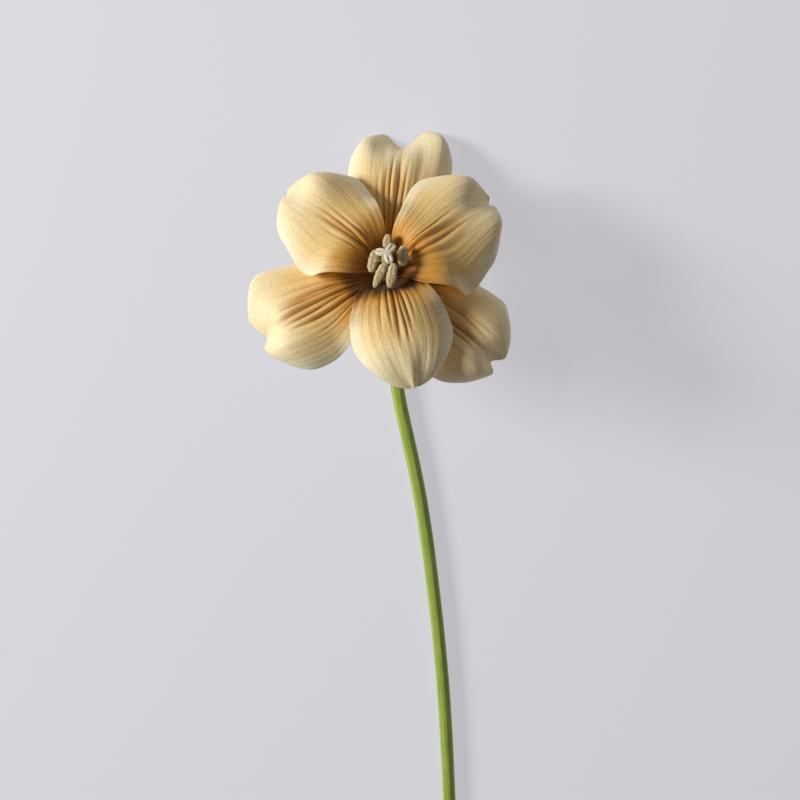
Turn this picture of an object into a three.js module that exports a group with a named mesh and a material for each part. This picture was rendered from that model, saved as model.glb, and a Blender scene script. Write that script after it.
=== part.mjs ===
// A cut tulip lying on a flat surface, looked at from above the bloom.
// Millimetres, +Z up. The stem runs along the surface towards -Y and lifts at its +Y end into the bloom,
// whose six tepals are folded right back so that their inner faces look up and outwards.
// The bloom rests on the two lobes of its hindmost tepal, the stem on its underside.
import * as THREE from 'three';

// ---- driving dimensions ------------------------------------------------------------------------------
const BASE = new THREE.Vector3(3.37, 120.7, 49.56);   // where the tepals meet the stem
const LEAN = 38;                                       // the bloom's axis, degrees from upright towards +Y
const STEM_RADIUS = 3.1;
const STEM_SIDES = 16;
const STEM_PATH = [                                    // the stem's axis after the bloom: across and along
  [0, -9.0, 37.4], [0.1, -20.5, 24.6], [0.6, -32.5, 13.6], [2.0, -46, 6.6], [3.6, -59, 3.75],       // from BASE,
  [5.0, -69, 3.16], [7.6, -82, 3.13], [13.4, -110, 3.13], [17.4, -135, 3.13], [21.7, -170, 3.13],   // and height
  [25.5, -210, 3.13], [28.0, -250, 3.13], [29.8, -292, 3.13]];                                      // above it all
const RECEPTACLE = [                                   // [height up the bloom's axis, radius]
  [0.9, 3.0], [0.6, 3.35], [0.0, 3.3], [-0.5, 3.4], [-0.8, 4.1], [-1.6, 4.4], [-2.6, 4.5], [-3.4, 5.0],
  [-4.6, 4.9], [-6.5, 4.1], [-10, 3.4]];
const GRID_LONG = 21;                                  // stations along a tepal
const GRID_WIDE = 15;                                  // points across a tepal
const BLADE = 0.9;                                     // thickness of a tepal at its midrib
const EDGE = 0.36;                                     // and at its margins
const MIDRIB_STEPS = 240;

// A tepal's shape. Lengths in millimetres, angles in degrees from the bloom's axis, places along the blade
// as a share of its length and across it from -1 to 1, positive on the anticlockwise side.
const OUTER = {
  footRadius: 5.4, footHeight: -2.4, rise: 66, spread: 98, curl: 150, foldAt: [0.16, 0.42], length: 62,
  halfWidth: 25, footShare: 0.19, power: 1.5, widest: 0.58, blunt: 2.6, hug: 0.8, crown: 36, tipCrown: 34,
  roll: 1.4, snub: 0.985, lean: 0, footLean: 0, sway: 0, swells: [] };
const INNER = {
  footRadius: 4.0, footHeight: 0.0, rise: 30, spread: 98, curl: 145, foldAt: [0.18, 0.44], length: 66,
  halfWidth: 26, footShare: 0.135, power: 1.5, widest: 0.58, blunt: 2.4, hug: 0.95, crown: 34, tipCrown: 32,
  roll: 0.7, snub: 0.985, lean: 0, footLean: 0, sway: 0, swells: [] };
// A swell moves the blade: out from the axis, sideways and off its face, around a place along and across it.
const swell = (along, reach, across, spread, out, side = 0, lift = 0) =>
  ({ along, reach, across, spread, out, side, lift });
const TEPALS = {
  outer_tepal_top: { ...OUTER, azimuth: 84, length: 63.5, halfWidth: 22.6, curl: 138, blunt: 3.0, snub: 0.93,
    swells: [swell(0.88, 0.24, -0.75, 0.42, 11.15, -3.4), swell(0.88, 0.24, 0.75, 0.42, 7.1, 2.4),
      swell(1.0, 0.18, -0.05, 0.35, -1.5)] },
  outer_tepal_left: { ...OUTER, azimuth: 206, length: 59.5, snub: 0.95, swells: [
    swell(0.78, 0.26, -0.75, 0.40, 3.5, -7), swell(0.80, 0.20, 0.50, 0.34, 2.5),
    swell(1.0, 0.20, 0.05, 0.34, -2.5)] },
  outer_tepal_right: { ...OUTER, azimuth: 321.5, rise: 70, length: 59.5, snub: 0.95, lean: 0.07, swells: [
    swell(0.80, 0.20, 0.50, 0.34, 3.5), swell(0.80, 0.20, -0.45, 0.30, 3.5),
    swell(1.0, 0.20, 0.0, 0.30, -3)] },
  inner_tepal_left: { ...INNER, azimuth: 141, length: 64, halfWidth: 25.5, blunt: 2.2, footLean: 0.12, lean: -0.17,
    swells: [swell(0.80, 0.20, 0.50, 0.34, 1.5), swell(0.80, 0.20, -0.50, 0.34, 5.5)] },
  inner_tepal_right: { ...INNER, azimuth: 35.5, length: 61.5, halfWidth: 28.5, power: 1.6, footLean: -0.3,
    lean: 0.05, swells: [swell(0.80, 0.20, 0.50, 0.34, 7), swell(0.80, 0.20, -0.50, 0.34, 5),
      swell(0.60, 0.30, 0.95, 0.40, 0, 0, 1.6)] },
  inner_tepal_front: { ...INNER, azimuth: 282.5, rise: 38, length: 58.5, halfWidth: 22.8, blunt: 1.5, power: 1.05,
    footLean: -0.04 } };

// Stamens: azimuth of the foot, the anther's own radius, and its two ends as [azimuth, radius, height].
const STAMENS = {
  right: { foot: 18, radius: 2.4, from: [-27, 7.4, 16.6], to: [40, 8.9, 17.0] },
  top: { foot: 78, radius: 2.15, from: [90, 7.2, 10.6], to: [86, 10.7, 17.0] },
  back: { foot: 138, radius: 1.9, from: [128, 4.7, 6.2], to: [127, 5.3, 12.0] },
  left: { foot: 198, radius: 2.2, from: [218, 8.4, 14.2], to: [133, 6.9, 14.4] },
  lower_left: { foot: 258, radius: 1.95, from: [255, 3.1, 18.8], to: [247, 13.4, 15.0] },
  lower_right: { foot: 318, radius: 2.3, from: [315, 4.2, 18.6], to: [275, 12.6, 15.0] } };
const ANTHER_FLAT = 0.82;                              // depth of an anther as a share of its width
const ANTHER_GROOVE = 0.16;                            // depth of the furrow down each face, as a share
const FILAMENT_RADII = [0.85, 0.7, 0.35];              // foot, middle and tip
const FILAMENT_FOOT = [2.85, 1.4];                    // radius and height of a filament's foot
const OVARY = [[1.3, 1.5], [2.4, 1.75], [6, 2.05], [11, 2.2], [16, 2.0], [19.0, 1.65], [19.9, 1.5]];
const STIGMA = [[20.2, 1.4], [20.9, 2.3], [21.7, 3.2], [22.5, 3.5], [23.1, 2.8], [23.3, 1.6]];
const STIGMA_LOBE = 0.44;                              // how far the three lobes stand out, as a share
const OVARY_LOBE = 0.10;

// ---- small helpers -----------------------------------------------------------------------------------
const rad = (degrees) => degrees * Math.PI / 180;
const mix = (a, b, k) => a + (b - a) * k;
const clamp = (x) => Math.min(1, Math.max(0, x));
const ease = (from, to, x) => { const k = clamp((x - from) / (to - from)); return k * k * (3 - 2 * k); };
const bell = (centre, reach, x) => Math.exp(-(((x - centre) / reach) ** 2));

// A place in the bloom's own frame (across, up the page of the bloom, out along its axis) put into the part's.
const OUT = new THREE.Vector3(0, Math.sin(rad(LEAN)), Math.cos(rad(LEAN)));
const UP = new THREE.Vector3(0, Math.cos(rad(LEAN)), -Math.sin(rad(LEAN)));
const place = (across, up, out) => BASE.clone().addScaledVector(OUT, out).addScaledVector(UP, up)
  .add(new THREE.Vector3(across, 0, 0));
const polar = (azimuth, radius, height) =>
  place(radius * Math.cos(rad(azimuth)), radius * Math.sin(rad(azimuth)), height);

// One closed skin through a row of rings. The ends are closed with a fan, or with a strip when the ring is
// a blade's (its first half one face, its second half the other, run back).
function skin(rings, cap) {
  const n = rings[0].length;
  const points = rings.flat();
  const faces = [];
  for (let i = 0; i + 1 < rings.length; i++) {
    for (let j = 0; j < n; j++) {
      const a = i * n + j, b = i * n + (j + 1) % n;
      faces.push([a, b, b + n], [a, b + n, a + n]);
    }
  }
  for (const [ring, turned] of [[0, true], [rings.length - 1, false]]) {
    const at = ring * n, end = [];
    if (cap === 'strip') {
      for (let j = 0; j < n / 2 - 1; j++) {
        end.push([at + j, at + j + 1, at + n - 2 - j], [at + j, at + n - 2 - j, at + n - 1 - j]);
      }
    } else {
      const middle = new THREE.Vector3();
      for (let j = 0; j < n; j++) middle.addScaledVector(rings[ring][j], 1 / n);
      points.push(middle);
      for (let j = 0; j < n; j++) end.push([at + j, at + (j + 1) % n, points.length - 1]);
    }
    for (const f of end) faces.push(turned ? [f[0], f[2], f[1]] : f);
  }
  let volume = 0;
  for (const [a, b, c] of faces) {
    volume += points[a].dot(new THREE.Vector3().crossVectors(points[b], points[c])) / 6;
  }
  const index = faces.flatMap(([a, b, c]) => (volume > 0 ? [a, b, c] : [a, c, b]));
  const geometry = new THREE.BufferGeometry();
  geometry.setAttribute('position', new THREE.Float32BufferAttribute(points.flatMap((p) => p.toArray()), 3));
  geometry.setIndex(index);
  geometry.computeVertexNormals();
  return geometry;
}

// Rings round a path. `section(k, angle)` gives the [sideways, upwards] offset at share k of the path.
function sweep(curve, stations, sides, section, level) {
  const rings = [];
  for (let i = 0; i < stations; i++) {
    const k = i / (stations - 1);
    const centre = curve.getPointAt(k), along = curve.getTangentAt(k);
    const side = new THREE.Vector3().crossVectors(along, level).normalize();
    const over = new THREE.Vector3().crossVectors(side, along).normalize();
    const ring = [];
    for (let j = 0; j < sides; j++) {
      const [x, y] = section(k, 2 * Math.PI * j / sides);
      ring.push(centre.clone().addScaledVector(side, x).addScaledVector(over, y));
    }
    rings.push(ring);
  }
  return rings;
}

// ---- tepals ------------------------------------------------------------------------------------------
// The midrib: it leaves the foot at `rise`, folds out to `spread` and curls on to `curl`.
function midrib(t) {
  const line = [[t.footRadius, t.footHeight]];
  const step = t.length / MIDRIB_STEPS;
  for (let i = 0; i < MIDRIB_STEPS; i++) {
    const a = rad(lay(t, (i + 0.5) / MIDRIB_STEPS));
    line.push([line[i][0] + step * Math.sin(a), line[i][1] + step * Math.cos(a)]);
  }
  return line;
}
const lay = (t, s) => t.rise + (t.spread - t.rise) * ease(...t.foldAt, s) + (t.curl - t.spread) * ease(0.62, 1, s);

function halfWidth(t, s) {
  if (s < t.widest) return t.halfWidth * mix(t.footShare, 1, Math.sin(s / t.widest * Math.PI / 2) ** t.power);
  return t.halfWidth * Math.sqrt(1 - (t.snub * (s - t.widest) / (1 - t.widest)) ** t.blunt);
}

// A point of the blade's middle surface, s along it and c across it.
function blade(t, line, s, c) {
  const at = Math.min(s, 0.99999) * MIDRIB_STEPS, i = Math.floor(at);
  const radius = mix(line[i][0], line[i + 1][0], at - i), height = mix(line[i][1], line[i + 1][1], at - i);
  const angle = rad(lay(t, s));
  const bend = -t.hug / radius * (1 - ease(0.04, 0.34, s)) + ease(0.18, 0.5, s) / t.crown
    + (1 / t.tipCrown - 1 / t.crown) * ease(0.6, 1, s);
  const uneven = t.lean * ease(0.45, 0.75, s) + t.footLean * (1 - ease(0.35, 0.7, s));
  const q = c * halfWidth(t, s) * (1 + Math.sign(c) * uneven);
  const flat = Math.abs(bend) < 1e-6;
  let aside = flat ? q : Math.sin(bend * q) / bend;
  let lift = (flat ? 0 : -(1 - Math.cos(bend * q)) / bend) - t.roll * ease(0.3, 0.6, s) * c ** 6;
  let out = 0;
  for (const w of t.swells) {
    const g = bell(w.along, w.reach, s) * bell(w.across, w.spread, c);
    out += w.out * g; aside += w.side * g; lift += w.lift * g;
  }
  const away = rad(80);
  const r = radius - lift * Math.cos(angle) + out * Math.sin(away);
  const h = height + lift * Math.sin(angle) + out * Math.cos(away);
  aside += t.sway * t.length * s * s;
  const az = rad(t.azimuth);
  return place(r * Math.cos(az) - aside * Math.sin(az), r * Math.sin(az) + aside * Math.cos(az), h);
}

function tepal(t) {
  const line = midrib(t), tiny = 1e-3;
  const rings = [];
  for (let i = 0; i < GRID_LONG; i++) {
    const k = i / (GRID_LONG - 1), s = 0.6 * Math.sin(k * Math.PI / 2) + 0.4 * k;
    const front = [], back = [];
    for (let j = 0; j < GRID_WIDE; j++) {
      const c = mix(-1, 1, j / (GRID_WIDE - 1));
      const s0 = Math.max(0, s - tiny), s1 = Math.min(1, s + tiny);
      const c0 = Math.max(-1, c - tiny), c1 = Math.min(1, c + tiny);
      const along = blade(t, line, s1, c).sub(blade(t, line, s0, c));
      const across = blade(t, line, s, c1).sub(blade(t, line, s, c0));
      const normal = along.cross(across).normalize();
      const thick = mix(EDGE, BLADE, (1 - c * c) * (1 - 0.6 * s * s)) / 2;
      const p = blade(t, line, s, c);
      front.push(p.clone().addScaledVector(normal, thick));
      back.unshift(p.clone().addScaledVector(normal, -thick));
    }
    rings.push([...front, ...back]);
  }
  return skin(rings, 'strip');
}

// ---- stem, stamens and pistil ------------------------------------------------------------------------
function stem() {
  const path = [0.9, -3, -7].map((h) => place(0, 0, h));
  for (const [x, y, z] of STEM_PATH) path.push(new THREE.Vector3(BASE.x + x, BASE.y + y, z));
  const curve = new THREE.CatmullRomCurve3(path, false, 'centripetal');
  curve.arcLengthDivisions = 600;
  const length = curve.getLength();
  const rings = [];
  const stations = [...RECEPTACLE.map(([h]) => 0.9 - h)];
  while (stations[stations.length - 1] < length - 9) stations.push(stations[stations.length - 1] + 7.5);
  stations.push(length);
  for (const d of stations) {
    const k = d / length, centre = curve.getPointAt(k), along = curve.getTangentAt(k);
    const side = new THREE.Vector3().crossVectors(along, new THREE.Vector3(0, 0, 1)).normalize();
    const over = new THREE.Vector3().crossVectors(side, along);
    const radius = stemRadius(0.9 - d);
    rings.push([...Array(STEM_SIDES).keys()].map((j) => {
      const a = 2 * Math.PI * j / STEM_SIDES;
      return centre.clone().addScaledVector(side, radius * Math.cos(a)).addScaledVector(over, radius * Math.sin(a));
    }));
  }
  return skin(rings, 'fan');
}

// The stem's radius at a height on the bloom's axis: the receptacle's profile, then the plain stem.
function stemRadius(h) {
  const last = RECEPTACLE.length - 1;
  if (h <= RECEPTACLE[last][0]) return mix(STEM_RADIUS, RECEPTACLE[last][1], Math.exp((h + 10) / 25));
  for (let i = 0; i < last; i++) {
    const [h0, r0] = RECEPTACLE[i], [h1, r1] = RECEPTACLE[i + 1];
    if (h >= h1) return mix(r1, r0, clamp((h - h1) / (h0 - h1)));
  }
  return RECEPTACLE[last][1];
}

// A turned body on the bloom's axis with three soft lobes.
function pistilPiece(profile, lobe, sides, turn) {
  return skin(profile.map(([h, r]) => [...Array(sides).keys()].map((j) => {
    const a = 360 * j / sides;
    return polar(a, r * (1 + lobe * Math.cos(3 * rad(a - turn))), h);
  })), 'fan');
}

function anther(stamen) {
  const curve = new THREE.LineCurve3(polar(...stamen.from), polar(...stamen.to));
  const section = (k, angle) => {
    const swelling = Math.sqrt(clamp(1 - (2 * k - 1) ** 2 * 0.97)) * mix(1.05, 0.88, k);
    const r = stamen.radius * swelling
      * (1 - ANTHER_GROOVE * Math.cos(angle) ** 8 - ANTHER_GROOVE * Math.sin(angle) ** 8);
    return [r * Math.cos(angle), r * Math.sin(angle) * ANTHER_FLAT];
  };
  return skin(sweep(curve, 9, 12, section, OUT.clone().addScaledVector(UP, 0.03)), 'fan');
}

// A filament climbs from the receptacle and ends just short of its anther's foot.
function filament(stamen) {
  const foot = polar(stamen.foot, ...FILAMENT_FOOT);
  const from = polar(...stamen.from), to = polar(...stamen.to);
  const along = to.clone().sub(from).normalize();
  const below = OUT.clone().addScaledVector(along, -OUT.dot(along));
  const erect = Math.abs(along.dot(OUT)) > 0.7;
  const tip = erect ? from.clone().addScaledVector(along, -0.9)
    : from.clone().lerp(to, 0.22).addScaledVector(below.normalize(), -stamen.radius - 0.35);
  const knee = foot.clone().lerp(tip, 0.5).addScaledVector(OUT, 0.8);
  const curve = new THREE.QuadraticBezierCurve3(foot, knee, tip);
  const [r0, r1, r2] = FILAMENT_RADII;
  const section = (k, angle) => {
    const r = k < 0.5 ? mix(r0, r1, k * 2) : mix(r1, r2, k * 2 - 1);
    return [r * Math.cos(angle), r * Math.sin(angle)];
  };
  return skin(sweep(curve, 6, 8, section, new THREE.Vector3(1, 0.2, 0).cross(OUT)), 'fan');
}

// ---- the flower --------------------------------------------------------------------------------------
const finish = (color, roughness) => new THREE.MeshStandardMaterial({ color, roughness, metalness: 0 });
const flower = new THREE.Group();
flower.name = 'tulip';
const add = (name, geometry, color, roughness) => {
  const mesh = new THREE.Mesh(geometry, finish(color, roughness));
  mesh.name = name;
  flower.add(mesh);
};
add('stem', stem(), 0x8aa545, 0.5);
for (const [name, shape] of Object.entries(TEPALS)) add(name, tepal(shape), 0xe9cf9b, 0.6);
for (const [name, stamen] of Object.entries(STAMENS)) {
  add(`filament_${name}`, filament(stamen), 0xd9c48a, 0.6);
  add(`anther_${name}`, anther(stamen), 0xcbbd8e, 0.85);
}
add('ovary', pistilPiece(OVARY, OVARY_LOBE, 18, 50), 0xc9c28a, 0.5);
add('stigma', pistilPiece(STIGMA, STIGMA_LOBE, 24, 50), 0xe9e4d0, 0.6);
export default flower;
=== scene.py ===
"""A cut tulip lying on a pale floor, its tepals folded right back round the open stamens and pistil.

Every piece is a surface worked out with numpy in millimetres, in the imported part's own frame, and put into
its mesh in metres. The bloom has a frame of its own (across, up, out along its axis) that leans towards +Y.
"""
import logging
import math
from dataclasses import dataclass, field
from enum import Enum

import bpy
import numpy as np
from mathutils import Matrix, Vector


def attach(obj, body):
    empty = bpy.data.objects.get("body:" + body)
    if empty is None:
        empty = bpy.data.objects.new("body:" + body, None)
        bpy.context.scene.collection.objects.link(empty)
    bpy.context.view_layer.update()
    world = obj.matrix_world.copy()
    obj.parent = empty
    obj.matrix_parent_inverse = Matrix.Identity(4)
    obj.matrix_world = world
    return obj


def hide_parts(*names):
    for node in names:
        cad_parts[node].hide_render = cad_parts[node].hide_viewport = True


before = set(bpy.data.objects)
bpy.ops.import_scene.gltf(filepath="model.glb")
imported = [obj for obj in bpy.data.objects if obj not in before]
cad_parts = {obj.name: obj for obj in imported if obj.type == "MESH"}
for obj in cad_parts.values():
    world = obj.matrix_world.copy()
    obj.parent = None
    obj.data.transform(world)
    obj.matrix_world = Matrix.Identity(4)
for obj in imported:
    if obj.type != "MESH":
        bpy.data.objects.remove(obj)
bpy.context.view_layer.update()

log = logging.getLogger("tulip")

MM = 0.001
BODY = "root"

BASE = np.array([3.37, 120.7, 49.56])       # where the tepals meet the stem, mm
LEAN = math.radians(38)                    # the bloom's axis from upright, towards +Y
ACROSS = np.array([1.0, 0.0, 0.0])
OUT = np.array([0.0, math.sin(LEAN), math.cos(LEAN)])
UP = np.array([0.0, math.cos(LEAN), -math.sin(LEAN)])

PATH_SAMPLES = 4000                        # fine steps along a path before it's spaced evenly

Colour = tuple[float, float, float]
Array = np.ndarray
Socket = bpy.types.NodeSocket


# ---- curves and fields -------------------------------------------------------------------------------
def ease(start: float, end: float, x: Array | float) -> Array:
    """A smooth step: 3k^2 - 2k^3 of the share k of the way from start to end.

    Args:
        start: where the step is still 0.
        end: where it has reached 1.
        x: the places asked for.

    Returns:
        The step's value at each place.
    """
    k = np.clip((np.asarray(x, float) - start) / (end - start), 0.0, 1.0)
    return k * k * (3.0 - 2.0 * k)


def bell(centre: float, reach: float, x: Array | float) -> Array:
    """A bell: e to the minus ((x - centre) / reach) squared.

    Args:
        centre: where the bell is 1.
        reach: how far off it has fallen to about a third.
        x: the places asked for.

    Returns:
        The bell's value at each place.
    """
    return np.exp(-(((np.asarray(x, float) - centre) / reach) ** 2))


def unit(v: Array) -> Array:
    """Each vector of an array divided by its length."""
    return v / np.maximum(np.linalg.norm(v, axis=-1, keepdims=True), 1e-12)


def place(across: Array, up: Array, out: Array) -> Array:
    """Puts places in the bloom's frame into the part's: base + across X + up U + out A.

    Args:
        across: distances to the right, mm.
        up: distances up the bloom's face, mm.
        out: distances out along its axis, mm.

    Returns:
        The places in the part's frame, mm, with a last axis of three.
    """
    across, up, out = np.broadcast_arrays(across, up, out)
    return BASE + across[..., None] * ACROSS + up[..., None] * UP + out[..., None] * OUT


def polar(azimuth: Array | float, radius: Array | float, height: Array | float) -> Array:
    """A place by its azimuth, radius and height: across R cos a, up R sin a, out H.

    Args:
        azimuth: degrees, 0 to the right and 90 up.
        radius: distance from the bloom's axis, mm.
        height: distance along the axis, mm.

    Returns:
        The place in the part's frame, mm.
    """
    a = np.radians(azimuth)
    return place(np.asarray(radius * np.cos(a)), np.asarray(radius * np.sin(a)), np.asarray(height, float))


def ripple(x: Array, y: Array, seed: int, waves: int, fine: float) -> Array:
    """A soft random field: the mean of `waves` sines of (a x + b y + phase), a and b drawn up to `fine`.

    Args:
        x: first coordinate.
        y: second coordinate, of the same shape.
        seed: the draw's seed.
        waves: how many sines are added.
        fine: the highest wave number, radians per unit.

    Returns:
        Values of about -1 to 1 in the shape of x.
    """
    rng = np.random.default_rng(seed)
    total = np.zeros(np.broadcast(x, y).shape)
    for a, b, phase in zip(rng.uniform(-fine, fine, waves), rng.uniform(-fine, fine, waves),
                           rng.uniform(0, 2 * math.pi, waves)):
        total += np.sin(a * x + b * y + phase)
    return total / math.sqrt(waves / 2.0) * 0.5


def smooth_path(points: Array, count: int) -> tuple[Array, Array]:
    """A natural cubic spline through points by chord length, sampled evenly along its length.

    Args:
        points: the points it passes, mm.
        count: how many samples to give back.

    Returns:
        The samples and the unit tangents there.
    """
    chord = np.concatenate([[0.0], np.cumsum(np.linalg.norm(np.diff(points, axis=0), axis=1))])
    n = len(points)
    h = np.diff(chord)
    system = np.eye(n)
    rows = np.arange(1, n - 1)
    system[rows, rows - 1], system[rows, rows], system[rows, rows + 1] = h[:-1], 2 * (h[:-1] + h[1:]), h[1:]
    slope = np.diff(points, axis=0) / h[:, None]
    right = np.zeros_like(points)
    right[1:-1] = 6 * np.diff(slope, axis=0)
    bend = np.linalg.solve(system, right)
    fine = np.linspace(0, chord[-1], PATH_SAMPLES)
    i = np.clip(np.searchsorted(chord, fine, side="right") - 1, 0, n - 2)
    a, b = (chord[i + 1] - fine)[:, None], (fine - chord[i])[:, None]
    hi = h[i][:, None]
    curve = (bend[i] * a ** 3 + bend[i + 1] * b ** 3) / (6 * hi) \
        + (points[i] / hi - bend[i] * hi / 6) * a + (points[i + 1] / hi - bend[i + 1] * hi / 6) * b
    run = np.concatenate([[0.0], np.cumsum(np.linalg.norm(np.diff(curve, axis=0), axis=1))])
    even = np.linspace(0, run[-1], count)
    centre = np.stack([np.interp(even, run, curve[:, k]) for k in range(3)], -1)
    return centre, unit(np.gradient(centre, axis=0))


# ---- meshes ------------------------------------------------------------------------------------------
class Ends(Enum):
    """How the two ends of a skin through rings are closed."""
    STRIP = "front joined to back"
    FAN = "a point in the middle"


@dataclass
class Skin:
    """A closed surface through a row of rings, all with the same number of points."""
    name: str
    rings: Array                                       # (rows, points round, 3), mm
    ends: Ends
    uv: Array                                          # (rows, points round, 2)
    layers: dict[str, Array] = field(default_factory=dict)

    def build(self) -> bpy.types.Object:
        """Makes the object: quads between neighbouring rings, closed at both ends, facing outwards.

        Returns:
            The object, at the origin, with its place in its mesh.
        """
        rows, n, _ = self.rings.shape
        points = self.rings.reshape(-1, 3)
        at = np.arange(rows * n).reshape(rows, n)
        a, b = at[:-1], np.roll(at[:-1], -1, axis=1)
        c, d = np.roll(at[1:], -1, axis=1), at[1:]
        quads = np.stack([a, b, c, d], -1).reshape(-1, 4)
        extra: Array = np.zeros((0, 3), int)
        if self.ends is Ends.STRIP:
            k = np.arange(n // 2 - 1)
            first, last = at[0], at[-1]
            quads = np.concatenate([
                quads,
                np.stack([first[k], first[n - 1 - k], first[n - 2 - k], first[k + 1]], -1),
                np.stack([last[k], last[k + 1], last[n - 2 - k], last[n - 1 - k]], -1)])
        else:
            hub = len(points)
            points = np.concatenate([points, self.rings[[0, -1]].mean(1)])
            k = np.arange(n)
            extra = np.concatenate([
                np.stack([at[0][(k + 1) % n], at[0][k], np.full(n, hub)], -1),
                np.stack([at[-1][k], at[-1][(k + 1) % n], np.full(n, hub + 1)], -1)])
        if self._volume(points, quads) < 0:
            quads, extra = quads[:, ::-1], extra[:, ::-1]
        mesh = bpy.data.meshes.new(self.name)
        mesh.vertices.add(len(points))
        mesh.vertices.foreach_set("co", (points * MM).astype(np.float32).ravel())
        corners = np.concatenate([quads.ravel(), extra.ravel()]).astype(np.int32)
        starts = np.concatenate([np.arange(len(quads)) * 4, 4 * len(quads) + np.arange(len(extra)) * 3])
        mesh.loops.add(len(corners))
        mesh.loops.foreach_set("vertex_index", corners)
        mesh.polygons.add(len(starts))
        mesh.polygons.foreach_set("loop_start", starts.astype(np.int32))
        mesh.update(calc_edges=True)
        mesh.shade_smooth()
        self._paint(mesh, corners, len(points))
        made = bpy.data.objects.new(self.name, mesh)
        bpy.context.scene.collection.objects.link(made)
        mesh.validate()
        return made

    @staticmethod
    def _volume(points: Array, quads: Array) -> float:
        """The signed volume under the quads, each split in two: the sum of a . (b x c) / 6.

        Args:
            points: the surface's points.
            quads: the four points of each face.

        Returns:
            The volume, below zero when the faces look inwards.
        """
        p = points - points.mean(0)
        a, b, c, d = (p[quads[:, i]] for i in range(4))
        return float((a * np.cross(b, c)).sum() + (a * np.cross(c, d)).sum()) / 6

    def _paint(self, mesh: bpy.types.Mesh, corners: Array, count: int) -> None:
        """Writes the UV map and the named layers.

        Args:
            mesh: the mesh to write to.
            corners: the point of each face corner.
            count: how many points the mesh has, hubs included.
        """
        uv = np.zeros((count, 2), np.float32)
        flat = self.uv.reshape(-1, 2)
        uv[:len(flat)] = flat
        if count > len(flat):
            uv[-2:] = self.uv[[0, -1]].mean(1)
        mesh.uv_layers.new(name="surface").uv.foreach_set("vector", uv[corners].ravel())
        for name, values in self.layers.items():
            full = np.zeros(count, np.float32)
            full[:values.size] = values.ravel()
            if count > values.size:
                full[-2:] = values[[0, -1]].mean(1)
            mesh.attributes.new(name, "FLOAT", "POINT").data.foreach_set("value", full)


def tube(centre: Array, tangent: Array, level: Array, offset_x: Array, offset_y: Array) -> Array:
    """Rings carried along a path: centre + x side + y over, side = tangent x level, over = side x tangent.

    Args:
        centre: the path's points, mm.
        tangent: its unit tangents.
        level: a direction never along the path, which keeps the rings from turning.
        offset_x: each ring's sideways offsets (rows, points round).
        offset_y: each ring's offsets over the path.

    Returns:
        The rings (rows, points round, 3), mm.
    """
    side = unit(np.cross(tangent, level))
    over = unit(np.cross(side, tangent))
    return centre[:, None] + offset_x[..., None] * side[:, None] + offset_y[..., None] * over[:, None]


def finish_piece(made: bpy.types.Object, node: str, material: bpy.types.Material) -> None:
    """Dresses a piece, lets it stand for its CAD node and reports it.

    Args:
        made: the piece.
        node: the CAD node it replaces.
        material: its finish.
    """
    made.data.materials.append(material)
    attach(made, BODY)
    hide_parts(node)
    log.info("%s: %d faces for %s", made.name, len(made.data.polygons), node)


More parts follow.
